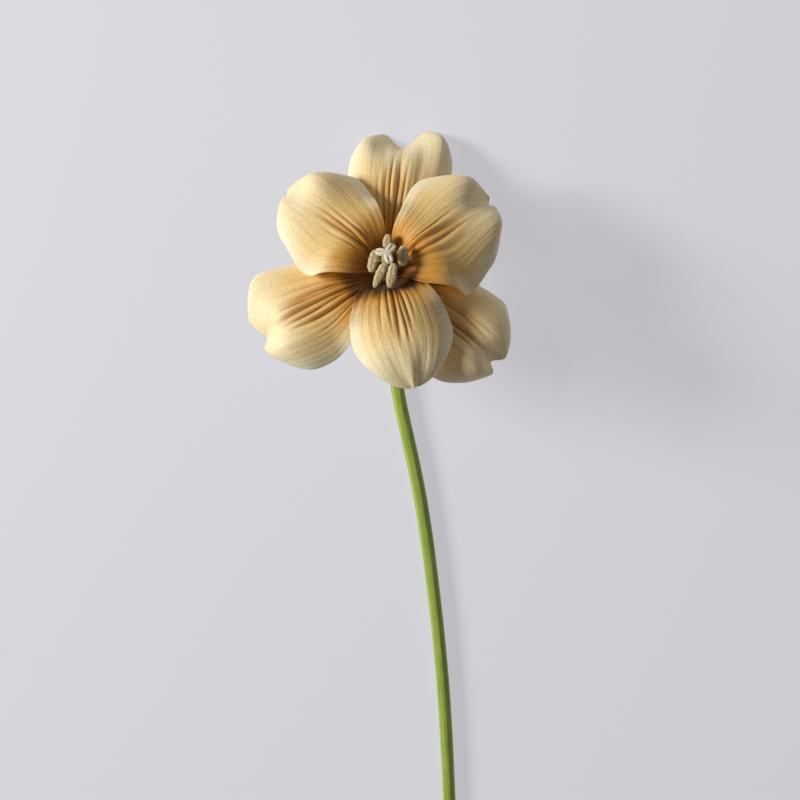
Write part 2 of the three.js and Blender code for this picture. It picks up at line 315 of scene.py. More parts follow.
# ---- shader groups -----------------------------------------------------------------------------------
class Nodes:
    """Short words for building a node tree."""

    def __init__(self, tree: bpy.types.NodeTree) -> None:
        """Keeps the tree the nodes go into."""
        self.tree = tree

    def add(self, kind: str, **values: object) -> bpy.types.Node:
        """Adds a node and sets its properties.

        Args:
            kind: the node's type name.
            **values: properties by name, and inputs by their name with spaces as underscores.

        Returns:
            The node.
        """
        node = self.tree.nodes.new(kind)
        for key, value in values.items():
            if hasattr(node, key):
                setattr(node, key, value)
            else:
                socket = node.inputs[key.replace("_", " ")]
                self.feed(socket, value)
        return node

    def feed(self, socket: Socket, value: object) -> None:
        """Links an output to a socket, or sets the socket's own value.

        Args:
            socket: the input to feed.
            value: another node's output, or a constant.
        """
        if isinstance(value, Socket):
            self.tree.links.new(value, socket)
        else:
            socket.default_value = value

    def math(self, operation: str, *values: object, clamp: bool = False) -> Socket:
        """Adds a Math node.

        Args:
            operation: what it does.
            *values: its inputs in order.
            clamp: whether the result is kept between 0 and 1.

        Returns:
            Its output.
        """
        node = self.tree.nodes.new("ShaderNodeMath")
        node.operation, node.use_clamp = operation, clamp
        for socket, value in zip(node.inputs, values):
            self.feed(socket, value)
        return node.outputs[0]

    def span(self, value: object, low: float, high: float, to_low: float = 0.0,
             to_high: float = 1.0) -> Socket:
        """Maps a value smoothly from one range to another.

        Args:
            value: the value to map.
            low: where the result is to_low.
            high: where it is to_high.
            to_low: the result at low.
            to_high: the result at high.

        Returns:
            The mapped value.
        """
        node = self.add("ShaderNodeMapRange", interpolation_type="SMOOTHSTEP")
        for key, v in zip(("Value", "From Min", "From Max", "To Min", "To Max"),
                          (value, low, high, to_low, to_high)):
            self.feed(node.inputs[key], v)
        return node.outputs["Result"]

    def mix(self, share: object, first: object, second: object, blend: str = "MIX") -> Socket:
        """Mixes two colours.

        Args:
            share: how much of the second is taken.
            first: the first colour.
            second: the second colour.
            blend: how they are mixed.

        Returns:
            The mixed colour.
        """
        node = self.tree.nodes.new("ShaderNodeMix")
        node.data_type, node.blend_type = "RGBA", blend
        self.feed(node.inputs["Factor"], share)
        for socket, value in zip([s for s in node.inputs if s.type == "RGBA"], (first, second)):
            self.feed(socket, (*value, 1.0) if isinstance(value, tuple) and len(value) == 3 else value)
        return next(s for s in node.outputs if s.type == "RGBA")

    def ramp(self, value: object, stops: list[tuple[float, Colour]]) -> Socket:
        """Adds a colour ramp.

        Args:
            value: where on the ramp the colour is read.
            stops: each place with its colour.

        Returns:
            The colour.
        """
        node = self.add("ShaderNodeValToRGB", Fac=value)
        ramp = node.color_ramp
        ramp.interpolation = "EASE"
        while len(ramp.elements) < len(stops):
            ramp.elements.new(0.5)
        for element, (at, colour) in zip(ramp.elements, stops):
            element.position, element.color = at, (*colour, 1.0)
        return node.outputs["Color"]

    def noise(self, vector: object, scale: float, detail: float, rough: float = 0.5) -> Socket:
        """Adds a noise texture.

        Args:
            vector: the coordinates it reads.
            scale: how many waves there are to a unit.
            detail: how many finer layers it has.
            rough: how strong the finer layers are.

        Returns:
            Its value.
        """
        return self.add("ShaderNodeTexNoise", Vector=vector, Scale=scale, Detail=detail,
                        Roughness=rough).outputs["Fac"]

    def layer(self, name: str) -> Socket:
        """The value of one of the piece's own layers."""
        return self.add("ShaderNodeAttribute", attribute_name=name).outputs["Fac"]


def group(name: str, inputs: dict[str, tuple[str, object]], outputs: dict[str, str]
          ) -> tuple[bpy.types.NodeTree, Nodes, bpy.types.Node, bpy.types.Node]:
    """Starts a shader node group.

    Args:
        name: the group's name.
        inputs: each input's socket type and default.
        outputs: each output's socket type.

    Returns:
        The group, a helper for it, and its input and output nodes.
    """
    tree = bpy.data.node_groups.new(name, "ShaderNodeTree")
    for key, (kind, default) in inputs.items():
        socket = tree.interface.new_socket(key, in_out="INPUT", socket_type=kind)
        if default is not None:
            socket.default_value = default
    for key, kind in outputs.items():
        tree.interface.new_socket(key, in_out="OUTPUT", socket_type=kind)
    nodes = Nodes(tree)
    return tree, nodes, nodes.add("NodeGroupInput"), nodes.add("NodeGroupOutput")


def fine_ribs_group() -> bpy.types.NodeTree:
    """Fine ribs along a surface whose map runs across in U and along in V.

    Returns:
        The group: two stretched noises and a wandering wave, mixed into one mask.
    """
    coarse_share, fine_share, wave_share = 0.45, 0.35, 0.2
    finer, slower, waver = 2.7, 0.35, 9.0
    tree, n, inside, outside = group("fine_ribs", {
        "Map": ("NodeSocketVector", None), "Ribs": ("NodeSocketFloat", 40.0),
        "Stretch": ("NodeSocketFloat", 3.0), "Seed": ("NodeSocketFloat", 0.0)}, {"Mask": "NodeSocketFloat"})
    parts = n.add("ShaderNodeSeparateXYZ", Vector=inside.outputs["Map"])
    across = n.math("MULTIPLY", parts.outputs["X"], inside.outputs["Ribs"])
    along = n.math("MULTIPLY", parts.outputs["Y"], inside.outputs["Stretch"])
    flat = n.add("ShaderNodeCombineXYZ", X=across, Y=along, Z=inside.outputs["Seed"]).outputs["Vector"]
    coarse = n.noise(flat, 1.0, 2.0)
    fine = n.noise(flat, finer, 2.0)
    wander = n.math("MULTIPLY", n.noise(flat, slower, 1.0), waver)
    wave = n.math("SINE", n.math("ADD", n.math("MULTIPLY", across, 3.1), wander))
    wave = n.math("MULTIPLY_ADD", wave, 0.25, 0.5)
    total = n.math("ADD", n.math("MULTIPLY", coarse, coarse_share), n.math("MULTIPLY", fine, fine_share))
    n.feed(outside.inputs["Mask"], n.math("ADD", total, n.math("MULTIPLY", wave, wave_share)))
    return tree


def grain_group() -> bpy.types.NodeTree:
    """The small uneven cells of a plant's skin, on Object coordinates.

    Returns:
        The group: a fine noise and rounded cells mixed into one mask, and slow blotches.
    """
    cell_share, noise_share, blotches = 0.45, 0.55, 70.0
    tree, n, inside, outside = group("cell_grain", {
        "Cells": ("NodeSocketFloat", 2500.0)}, {"Mask": "NodeSocketFloat", "Blotch": "NodeSocketFloat"})
    where = n.add("ShaderNodeTexCoord").outputs["Object"]
    cells = n.add("ShaderNodeTexVoronoi", Vector=where, Scale=inside.outputs["Cells"])
    grain = n.add("ShaderNodeTexNoise", Vector=where, Detail=3.0, Scale=inside.outputs["Cells"])
    round_cell = n.math("SUBTRACT", 1.0, cells.outputs["Distance"], clamp=True)
    n.feed(outside.inputs["Mask"], n.math("ADD", n.math("MULTIPLY", round_cell, cell_share),
                                          n.math("MULTIPLY", grain.outputs["Fac"], noise_share)))
    n.feed(outside.inputs["Blotch"], n.noise(where, blotches, 3.0))
    return tree


class Groups:
    """The shader groups that the finishes share, each built once."""

    def __init__(self) -> None:
        """Builds both groups."""
        self.ribs = fine_ribs_group()
        self.grain = grain_group()

    def ribs_mask(self, n: Nodes, ribs: float, stretch: float, seed: float) -> Socket:
        """Lays the fine ribs on a piece's own surface map.

        Args:
            n: the material's helper.
            ribs: how many ribs there are across the map.
            stretch: how often they change along it.
            seed: which draw of them is used.

        Returns:
            The ribs' mask.
        """
        node = n.add("ShaderNodeGroup", node_tree=self.ribs)
        surface = n.add("ShaderNodeUVMap", uv_map="surface").outputs["UV"]
        for key, value in (("Map", surface), ("Ribs", ribs), ("Stretch", stretch), ("Seed", seed)):
            n.feed(node.inputs[key], value)
        return node.outputs["Mask"]

    def grain_masks(self, n: Nodes, cells: float) -> tuple[Socket, Socket]:
        """Lays the grain on a piece.

        Args:
            n: the material's helper.
            cells: how many cells there are to a metre.

        Returns:
            The grain's mask and its slow blotches.
        """
        node = n.add("ShaderNodeGroup", node_tree=self.grain)
        n.feed(node.inputs["Cells"], cells)
        return node.outputs["Mask"], node.outputs["Blotch"]


def srgb(red: int, green: int, blue: int) -> Colour:
    """Turns a screen colour into linear light.

    Args:
        red: 0 to 255.
        green: 0 to 255.
        blue: 0 to 255.

    Returns:
        The three shares of full light.
    """
    c = np.array([red, green, blue]) / 255.0
    return tuple(float(v) for v in np.where(c <= 0.04045, c / 12.92, ((c + 0.055) / 1.055) ** 2.4))


def new_material(name: str) -> tuple[bpy.types.Material, Nodes, bpy.types.Node]:
    """A node material with its Principled shader.

    Args:
        name: the material's name.

    Returns:
        The material, a helper for its tree and the shader.
    """
    material = bpy.data.materials.new(name)
    material.use_nodes = True
    nodes = Nodes(material.node_tree)
    return material, nodes, material.node_tree.nodes["Principled BSDF"]


def set_shader(shader: bpy.types.Node, **values: object) -> None:
    """Sets constants on the shader's own sockets.

    Args:
        shader: the shader.
        **values: each socket's value, its name written with underscores for spaces.
    """
    for key, value in values.items():
        shader.inputs[key.replace("_", " ")].default_value = value


def bump(n: Nodes, shader: bpy.types.Node, heights: list[tuple[Socket, float]]) -> None:
    """Chains bumps into the shader's normal.

    Args:
        n: the tree's helper.
        shader: the shader to feed.
        heights: each mask with its height in mm.
    """
    normal = None
    for mask, height in heights:
        node = n.add("ShaderNodeBump", Strength=1.0, Distance=height * MM, Height=mask)
        if normal is not None:
            n.feed(node.inputs["Normal"], normal)
        normal = node.outputs["Normal"]
    n.feed(shader.inputs["Normal"], normal)


# ---- finishes ----------------------------------------------------------------------------------------
@dataclass(frozen=True)
class PetalFinish:
    """A tepal's skin: golden from the throat, peach on the blade, cream at the margins, finely ribbed, with
    painted shade, dark brown deep in the cup and deeper orange in the pleats' grooves.
    """
    name: str
    throat: Colour = srgb(188, 118, 34)
    # painted shade: the dark brown of the shadowed cup, laid on the tepals' feet
    dusk: Colour = srgb(78, 40, 8)
    heart: Colour = srgb(212, 150, 50)
    blade: Colour = srgb(230, 193, 121)
    tip: Colour = srgb(240, 219, 172)
    margin: Colour = srgb(247, 236, 206)
    # painted shade: a darker, deeper orange laid along the pleats' grooves
    crease: Colour = srgb(180, 120, 40)
    back: Colour = srgb(228, 206, 156)
    back_rib: Colour = srgb(170, 172, 92)
    stops: tuple[float, float, float, float] = (0.10, 0.24, 0.48, 0.85)   # of throat, heart, blade and tip
    margin_share: float = 0.75
    crease_shade_share: float = 0.75
    back_rib_share: float = 0.45
    ribs: float = 70.0
    cells: float = 1500.0
    streaks: float = 0.34            # how strongly the ribs and the grain change the tone
    speckles: float = 0.62
    broad_mm: float = 0.25           # heights of the bumps
    rib_mm: float = 0.10
    grain_mm: float = 0.09
    seed: float = 0.0

    def build(self, groups: Groups) -> bpy.types.Material:
        """Makes the material from the blade's own layers: along, across, crease, face, and the share of
        painted shade deep in the cup.

        Args:
            groups: the shared shader groups.

        Returns:
            The material.
        """
        material, n, shader = new_material(self.name)
        along, across = n.layer("along"), n.layer("across")
        crease, face = n.layer("crease"), n.layer("face")
        ribs = groups.ribs_mask(n, self.ribs, 2.2, self.seed)
        broad = groups.ribs_mask(n, self.ribs * 0.22, 1.2, self.seed + 7.0)
        grain, blotch = groups.grain_masks(n, self.cells)
        uneven = n.math("MULTIPLY_ADD", broad, 0.22, n.math("MULTIPLY_ADD", blotch, 0.16, -0.19))
        run = n.math("ADD", along, uneven, clamp=True)
        colour = n.ramp(run, list(zip(self.stops, (self.throat, self.heart, self.blade, self.tip))))
        edge = n.span(n.math("ABSOLUTE", across), 0.55, 1.05)
        edge = n.math("MULTIPLY", edge, n.span(run, 0.2, 0.5))
        colour = n.mix(n.math("MULTIPLY", edge, self.margin_share), colour, self.margin)
        # painted crease shade: the grooves darkened by their depth
        colour = n.mix(n.math("MULTIPLY", crease, self.crease_shade_share), colour, self.crease)
        # painted shade of the cup: dark brown up the foot, reaching further and darker where the tepal's
        # share is higher
        dusk = n.layer("dusk")
        basal_shade_share = n.math("MULTIPLY", n.span(n.math("MULTIPLY_ADD", dusk, -0.09, run), 0.23, 0.11), dusk)
        colour = n.mix(basal_shade_share, colour, self.dusk)
        keel = n.math("MULTIPLY", n.span(n.math("ABSOLUTE", across), 0.3, 0.0), self.back_rib_share)
        behind = n.mix(keel, self.back, self.back_rib)
        colour = n.mix(n.span(face, 0.45, 0.3), colour, behind)
        tone = n.math("MULTIPLY_ADD", n.math("SUBTRACT", ribs, 0.5), self.streaks,
                      n.math("MULTIPLY_ADD", n.math("SUBTRACT", grain, 0.5), self.speckles, 1.02))
        shade = n.add("ShaderNodeCombineColor", Red=tone, Green=tone,
                      Blue=n.math("POWER", tone, 1.2)).outputs["Color"]
        n.feed(shader.inputs["Base Color"], n.mix(1.0, colour, shade, "MULTIPLY"))
        n.feed(shader.inputs["Roughness"], n.span(ribs, 0.2, 0.8, 0.62, 0.46))
        set_shader(shader, Subsurface_Weight=0.22, Subsurface_Radius=(1.0, 0.62, 0.30),
                   Subsurface_Scale=0.0016, Sheen_Weight=0.12, Sheen_Roughness=0.45,
                   Sheen_Tint=(1.0, 0.93, 0.80, 1.0), Specular_IOR_Level=0.35)
        bump(n, shader, [(broad, self.broad_mm), (ribs, self.rib_mm), (grain, self.grain_mm)])
        return material


@dataclass(frozen=True)
class StemFinish:
    """A fresh stem: yellow-green, finely streaked lengthwise, paler where it was cut, and painted dark brown
    at its top as the shade deep in the bloom's cup.
    """
    name: str
    light: Colour = srgb(186, 202, 92)
    dark: Colour = srgb(132, 160, 48)
    pale: Colour = srgb(206, 214, 150)
    cut: Colour = srgb(206, 212, 160)
    # painted shade: dark brown where the stem's top lies in the shadowed cup
    painted_stem_top_shade: Colour = srgb(84, 50, 14)
    ribs: float = 26.0
    fine_ribs: float = 90.0
    cells: float = 2200.0
    rib_mm: float = 0.16
    fine_rib_mm: float = 0.05
    grain_mm: float = 0.02

    def build(self, groups: Groups) -> bpy.types.Material:
        """Makes the material from the stem's map and its layers: cut, neck, and the painted shade at its top.

        Args:
            groups: the shared shader groups.

        Returns:
            The material.
        """
        material, n, shader = new_material(self.name)
        ribs = groups.ribs_mask(n, self.ribs, 14.0, 3.0)
        fine = groups.ribs_mask(n, self.fine_ribs, 30.0, 5.0)
        grain, blotch = groups.grain_masks(n, self.cells)
        colour = n.mix(n.span(ribs, 0.30, 0.72), self.dark, self.light)
        colour = n.mix(n.math("MULTIPLY", n.span(fine, 0.5, 0.8), 0.35), colour, self.pale)
        colour = n.mix(n.math("MULTIPLY", n.span(blotch, 0.45, 0.7), 0.25), colour, self.dark)
        colour = n.mix(n.math("MULTIPLY", n.layer("neck"), 0.6), colour, self.pale)
        # painted shade at the stem's top, deep in the bloom's cup
        colour = n.mix(n.layer("painted_stem_top_shade"), colour, self.painted_stem_top_shade)
        colour = n.mix(n.layer("cut"), colour, self.cut)
        n.feed(shader.inputs["Base Color"], colour)
        n.feed(shader.inputs["Roughness"], n.span(grain, 0.2, 0.8, 0.52, 0.38))
        set_shader(shader, Subsurface_Weight=0.12, Subsurface_Radius=(0.5, 0.8, 0.2),
                   Subsurface_Scale=0.0012, Coat_Weight=0.05, Coat_Roughness=0.4)
        bump(n, shader, [(ribs, self.rib_mm), (fine, self.fine_rib_mm), (grain, self.grain_mm)])
        return material


@dataclass(frozen=True)
class TissueFinish:
    """The skin of a stamen or the pistil: two tones, grained, and a darker third painted into its hollows as
    shade.
    """
    name: str
    light: Colour
    dark: Colour
    # painted shade: the darker colour for furrows, grooves, clefts and feet
    painted_hollow_shade: Colour
    cells: float
    grain_mm: float
    rough: float

    def build(self, groups: Groups) -> bpy.types.Material:
        """Makes the material from Object coordinates and the piece's layer of painted shade in its hollows.

        Args:
            groups: the shared shader groups.

        Returns:
            The material.
        """
        material, n, shader = new_material(self.name)
        grain, blotch = groups.grain_masks(n, self.cells)
        coarse, _ = groups.grain_masks(n, self.cells * 0.35)
        share = n.math("ADD", n.math("MULTIPLY", grain, 0.6), n.math("MULTIPLY", blotch, 0.4))
        colour = n.mix(n.span(share, 0.35, 0.65), self.dark, self.light)
        # painted shade, laid in as far as the piece's layer asks
        colour = n.mix(n.layer("painted_hollow_shade"), colour, self.painted_hollow_shade)
        n.feed(shader.inputs["Base Color"], colour)
        n.feed(shader.inputs["Roughness"], n.span(coarse, 0.2, 0.8, self.rough + 0.08, self.rough - 0.08))
        set_shader(shader, Subsurface_Weight=0.15, Subsurface_Radius=(1.0, 0.8, 0.4),
                   Subsurface_Scale=0.0008, Specular_IOR_Level=0.3)
        bump(n, shader, [(coarse, self.grain_mm * 2.0), (grain, self.grain_mm)])
        return material


# ---- tepals ------------------------------------------------------------------------------------------
@dataclass(frozen=True)
class Swell:
    """A push on the blade around one place: out from the axis, sideways and off its face, mm."""
    along: float
    reach: float
    across: float
    spread: float
    out: float = 0.0
    side: float = 0.0
    lift: float = 0.0


@dataclass(frozen=True)
class Dint:
    """A shallow hump (or, below zero, a hollow) on the blade's face: height in mm, place and reaches."""
    height: float
    along: float
    reach: float
    across: float
    spread: float


@dataclass(frozen=True)
class Pleat:
    """A groove along the blade: its line across, depth in mm, half-width, and the stretch it covers."""
    across: float
    depth: float
    width: float
    start: float
    end: float
    sway: float = 0.0


def fan(centre: float, step: float, depths: tuple[float, ...], width: float, start: float, end: float,
        sway: float = 0.0) -> tuple[Pleat, ...]:
    """Pleats side by side with uneven gaps, widths and ends.

    Args:
        centre: the middle of the row, across the blade.
        step: the usual gap between two pleats.
        depths: each pleat's depth, mm.
        width: their usual half-width.
        start: where they begin along the blade.
        end: where they end.
        sway: how far each one bends sideways by its end.

    Returns:
        The pleats.
    """
    middle = (len(depths) - 1) / 2
    return tuple(Pleat(centre + (i - middle) * step * (1 + 0.18 * math.sin(2.3 * i + 1)), depth,
                       width * (1 + 0.3 * math.sin(3.7 * i)), start + 0.02 * math.sin(5.1 * i),
                       end - 0.05 * abs(i - middle), sway) for i, depth in enumerate(depths))


@dataclass(frozen=True)
class Tepal:
    """One tepal. Lengths in mm, angles in degrees from the bloom's axis, places as shares of the blade.

    Azimuth is its place round the axis. Rise, spread and curl are the midrib's angle at the foot, past the
    fold and at the tip. Crown and tip_crown are the blade's radii across, and hug is how far its foot wraps
    the axis. Blunt and snub shape the tip's outline, and lean and foot_lean make one side wider.
    """
    node: str
    azimuth: float
    length: float
    half_width: float
    foot_radius: float
    foot_height: float
    rise: float
    curl: float
    fold_at: tuple[float, float]
    foot_share: float
    blunt: float
    hug: float
    crown: float
    tip_crown: float
    roll: float
    spread: float = 98.0
    power: float = 1.5
    snub: float = 0.985
    lean: float = 0.0
    foot_lean: float = 0.0
    widest: float = 0.58
    blade_mm: float = 0.9
    edge_mm: float = 0.16
    swells: tuple[Swell, ...] = ()
    pleats: tuple[Pleat, ...] = ()
    dints: tuple[Dint, ...] = ()
    # how strongly painted cup shade darkens this tepal's foot, 0 to 1
    dusk: float = 0.45
    ruffle: float = 0.35
    seed: int = 1
    rows: int = 180
    columns: int = 120

    def angle(self, s: Array) -> Array:
        """The midrib's angle from the axis: rise, eased to spread over the fold and on to curl at the tip.

        Args:
            s: places along the blade.

        Returns:
            The angle at each place, radians.
        """
        return np.radians(self.rise + (self.spread - self.rise) * ease(*self.fold_at, s)
                          + (self.curl - self.spread) * ease(0.62, 1.0, s))

    def width(self, s: Array) -> Array:
        """Half the blade's width: a sine's power up to the widest place, then a rounded, snubbed tip.

        Args:
            s: places along the blade.

        Returns:
            The half-width at each place, mm.
        """
        low = np.sin(np.clip(s / self.widest, 0, 1) * math.pi / 2) ** self.power
        low = self.foot_share + (1 - self.foot_share) * low
        past = np.clip(s - self.widest, 0, None) / (1 - self.widest)
        high = np.sqrt(np.clip(1 - (self.snub * past) ** self.blunt, 0, 1))
        return self.half_width * np.where(s < self.widest, low, high)

    def midrib(self, s: Array) -> tuple[Array, Array]:
        """The midrib's radius and height: the running sums of the sine and cosine of its angle.

        Args:
            s: places along the blade.

        Returns:
            Radius and height at each place, mm.
        """
        steps = 2000
        middle = (np.arange(steps) + 0.5) / steps
        grid = np.linspace(0, 1, steps + 1)
        piece = self.length / steps
        radius = self.foot_radius + np.concatenate([[0], np.cumsum(np.sin(self.angle(middle)))]) * piece
        height = self.foot_height + np.concatenate([[0], np.cumsum(np.cos(self.angle(middle)))]) * piece
        return np.interp(s, grid, radius), np.interp(s, grid, height)

    def relief(self, s: Array, c: Array) -> tuple[Array, Array]:
        """The pleats and soft unevenness of the blade, off its face.

        Each pleat is a bell across the blade, swaying with the way along, eased in and out at its ends.

        Args:
            s: places along.
            c: places across.

        Returns:
            The height in mm and the depth of crease from 0 to 1.
        """
        depth = np.zeros_like(s)
        ridge = np.zeros_like(s)
        for p in self.pleats:
            stretch = ease(p.start, p.start + 0.16, s) * (1 - ease(p.end - 0.28, p.end, s))
            line = p.across + p.sway * s * s + 0.012 * np.sin(9 * s + 20 * p.across)
            depth += 1.15 * p.depth * stretch * np.exp(-np.abs((c - line) / p.width) ** 1.4)
            ridge += 0.40 * p.depth * stretch * bell(0, p.width, np.abs(c - line) - 2.0 * p.width)
        soft = 0.34 * ripple(s * 5, c * 2.2, self.seed, 9, 2.6) * ease(0.2, 0.5, s)
        for d in self.dints:
            soft = soft + d.height * bell(d.along, d.reach, s) * bell(d.across, d.spread, c)
        faint = (0.05 * np.sin(38 * c + 3 * ripple(s * 2, c * 3, self.seed + 5, 5, 2.0))
                 + 0.03 * np.sin(83 * c + 4 * ripple(s * 2, c * 3, self.seed + 6, 5, 2.0))) \
            * ease(0.12, 0.35, s) * (1 - ease(0.75, 1.0, s))
        wave = self.ruffle * ripple(s * 9, c, self.seed + 9, 6, 1.8) * np.abs(c) ** 6 * ease(0.35, 0.7, s)
        return ridge - depth + soft + faint + wave, np.clip(depth / 0.9, 0, 1)

    def middle(self, s: Array, c: Array) -> tuple[Array, Array]:
        """The blade's middle surface.

        Across, the blade bends on an arc of curvature b: aside sin(b q) / b and down (1 - cos(b q)) / b,
        with q the width at c. The foot hugs the axis, the blade is crowned, its margins roll down as c^6.

        Args:
            s: places along, 0 at the foot.
            c: places across, -1 to 1, positive anticlockwise of the midrib.

        Returns:
            The places in the part's frame, mm, and the depth of crease.
        """
        radius, height = self.midrib(s)
        angle = self.angle(s)
        bend = -self.hug / radius * (1 - ease(0.04, 0.34, s)) + ease(0.18, 0.5, s) / self.crown \
            + (1 / self.tip_crown - 1 / self.crown) * ease(0.6, 1.0, s)
        bend = np.where(np.abs(bend) < 1e-6, 1e-6, bend)
        uneven = self.lean * ease(0.45, 0.75, s) + self.foot_lean * (1 - ease(0.35, 0.7, s))
        q = c * self.width(s) * (1 + np.sign(c) * uneven)
        aside = np.sin(bend * q) / bend
        lift = -(1 - np.cos(bend * q)) / bend - self.roll * ease(0.3, 0.6, s) * c ** 6
        out = np.zeros_like(s)
        for w in self.swells:
            g = bell(w.along, w.reach, s) * bell(w.across, w.spread, c)
            out, aside, lift = out + w.out * g, aside + w.side * g, lift + w.lift * g
        relief, crease = self.relief(s, c)
        lift = lift + relief
        away = math.radians(80)
        r = radius - lift * np.cos(angle) + out * math.sin(away)
        h = height + lift * np.sin(angle) + out * math.cos(away)
        az = math.radians(self.azimuth)
        across = r * math.cos(az) - aside * math.sin(az)
        up = r * math.sin(az) + aside * math.cos(az)
        return place(across, up, h), crease

    def build(self, material: bpy.types.Material, slot: str) -> bpy.types.Object:
        """Builds the tepal as two faces either side of its middle surface, closed round the margin.

        Args:
            material: its finish.
            slot: not used.

        Returns:
            The object.
        """
        k = np.linspace(0, 1, self.rows)
        s = 0.6 * np.sin(k * math.pi / 2) + 0.4 * k
        t = np.linspace(-1, 1, self.columns)
        c = 0.75 * t + 0.25 * np.sin(t * math.pi / 2)
        s, c = np.meshgrid(s, c, indexing="ij")
        middle, crease = self.middle(s, c)
        normal = unit(np.cross(np.gradient(middle, axis=0), np.gradient(middle, axis=1)))
        body = np.sqrt(np.clip(1 - c ** 8, 0, 1)) * np.sqrt(np.clip(1 - s ** 30, 0, 1))
        thin = 0.55                              # how much of the body is lost towards margin and tip
        full = (1 - thin * c * c) * (1 - thin * s * s) * body
        thick = (self.edge_mm + (self.blade_mm - self.edge_mm) * full) / 2
        front = middle + normal * thick[..., None]
        back = middle - normal * thick[..., None]
        flip = slice(None, None, -1)

        def both(a: Array, b: Array) -> Array:
            """A value on the front, run on by its value on the back turned round."""
            return np.concatenate([a, b[:, flip]], axis=1)

        outward = normal @ OUT * np.sin(self.angle(s)) > 0
        is_front = np.where(outward.mean() > 0.5, 1.0, 0.0)
        # the layers carry the grooves' depth, which paints crease shade, and the share of painted cup shade
        layers = {"along": both(s, s), "across": both(c, c), "crease": both(crease, crease * 0.4),
                  "dusk": np.full((len(k), 2 * len(t)), self.dusk),
                  "face": both(np.full_like(s, is_front), np.full_like(s, 1 - is_front))}
        uv = both(np.stack([(c + 1) / 2, s], -1), np.stack([(c + 1) / 2, s], -1))
        made = Skin("look_" + self.node, both(front, back), Ends.STRIP, uv, layers).build()
        finish_piece(made, self.node, material)
        return made


def outer(node: str, azimuth: float, **changes: object) -> Tepal:
    """A tepal of the outer whorl.

    Args:
        node: the CAD node it replaces.
        azimuth: its place round the axis, degrees.
        **changes: what is its own, over the whorl's usual values.

    Returns:
        The tepal.
    """
    usual = dict(length=62.0, half_width=25.0, foot_radius=5.4, foot_height=-2.4, rise=66.0, curl=150.0,
                 fold_at=(0.16, 0.42), foot_share=0.19, blunt=2.6, hug=0.8, crown=36.0,
                 tip_crown=34.0, roll=1.4)
    return Tepal(node=node, azimuth=azimuth, **{**usual, **changes})


def inner(node: str, azimuth: float, **changes: object) -> Tepal:
    """A tepal of the inner whorl.

    Args:
        node: the CAD node it replaces.
        azimuth: its place round the axis, degrees.
        **changes: what is its own, over the whorl's usual values.

    Returns:
        The tepal.
    """
    usual = dict(length=66.0, half_width=26.0, foot_radius=4.0, foot_height=0.0, rise=30.0, curl=145.0,
                 fold_at=(0.18, 0.44), foot_share=0.135, blunt=2.4, hug=0.95, crown=34.0,
                 tip_crown=32.0, roll=0.7)
    return Tepal(node=node, azimuth=azimuth, **{**usual, **changes})


